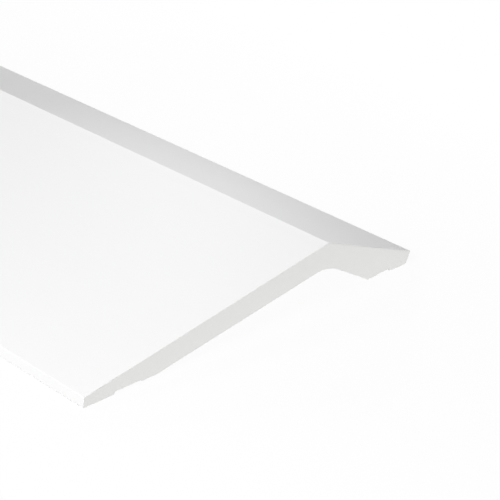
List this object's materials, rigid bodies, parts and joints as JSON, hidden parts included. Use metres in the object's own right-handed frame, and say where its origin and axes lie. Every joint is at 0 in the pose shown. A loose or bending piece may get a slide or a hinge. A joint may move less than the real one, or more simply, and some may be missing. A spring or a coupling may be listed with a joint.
{
  "type": "polystyrene wall panel",
  "caption": "Long white polystyrene wall panel with an off-centre ridge along its face, slanted joint edges and a hollow back with flat lands for adhesive.",
  "frame": {"origin": "middle of the bounding box's base, on the plane of the two outer back lands", "axes": "+Y along the length of the stock, +X across the width from the low edge to the steep side, +Z out of the back lands towards the face"},
  "size_m": [0.2508, 2, 0.0364],
  "materials": {
    "white_polystyrene": "smooth matt white primed face, plain foam on the sawn ends"
  },
  "bodies": {
    "root": {"wall_panel": "white_polystyrene"}
  },
  "joints": []
}
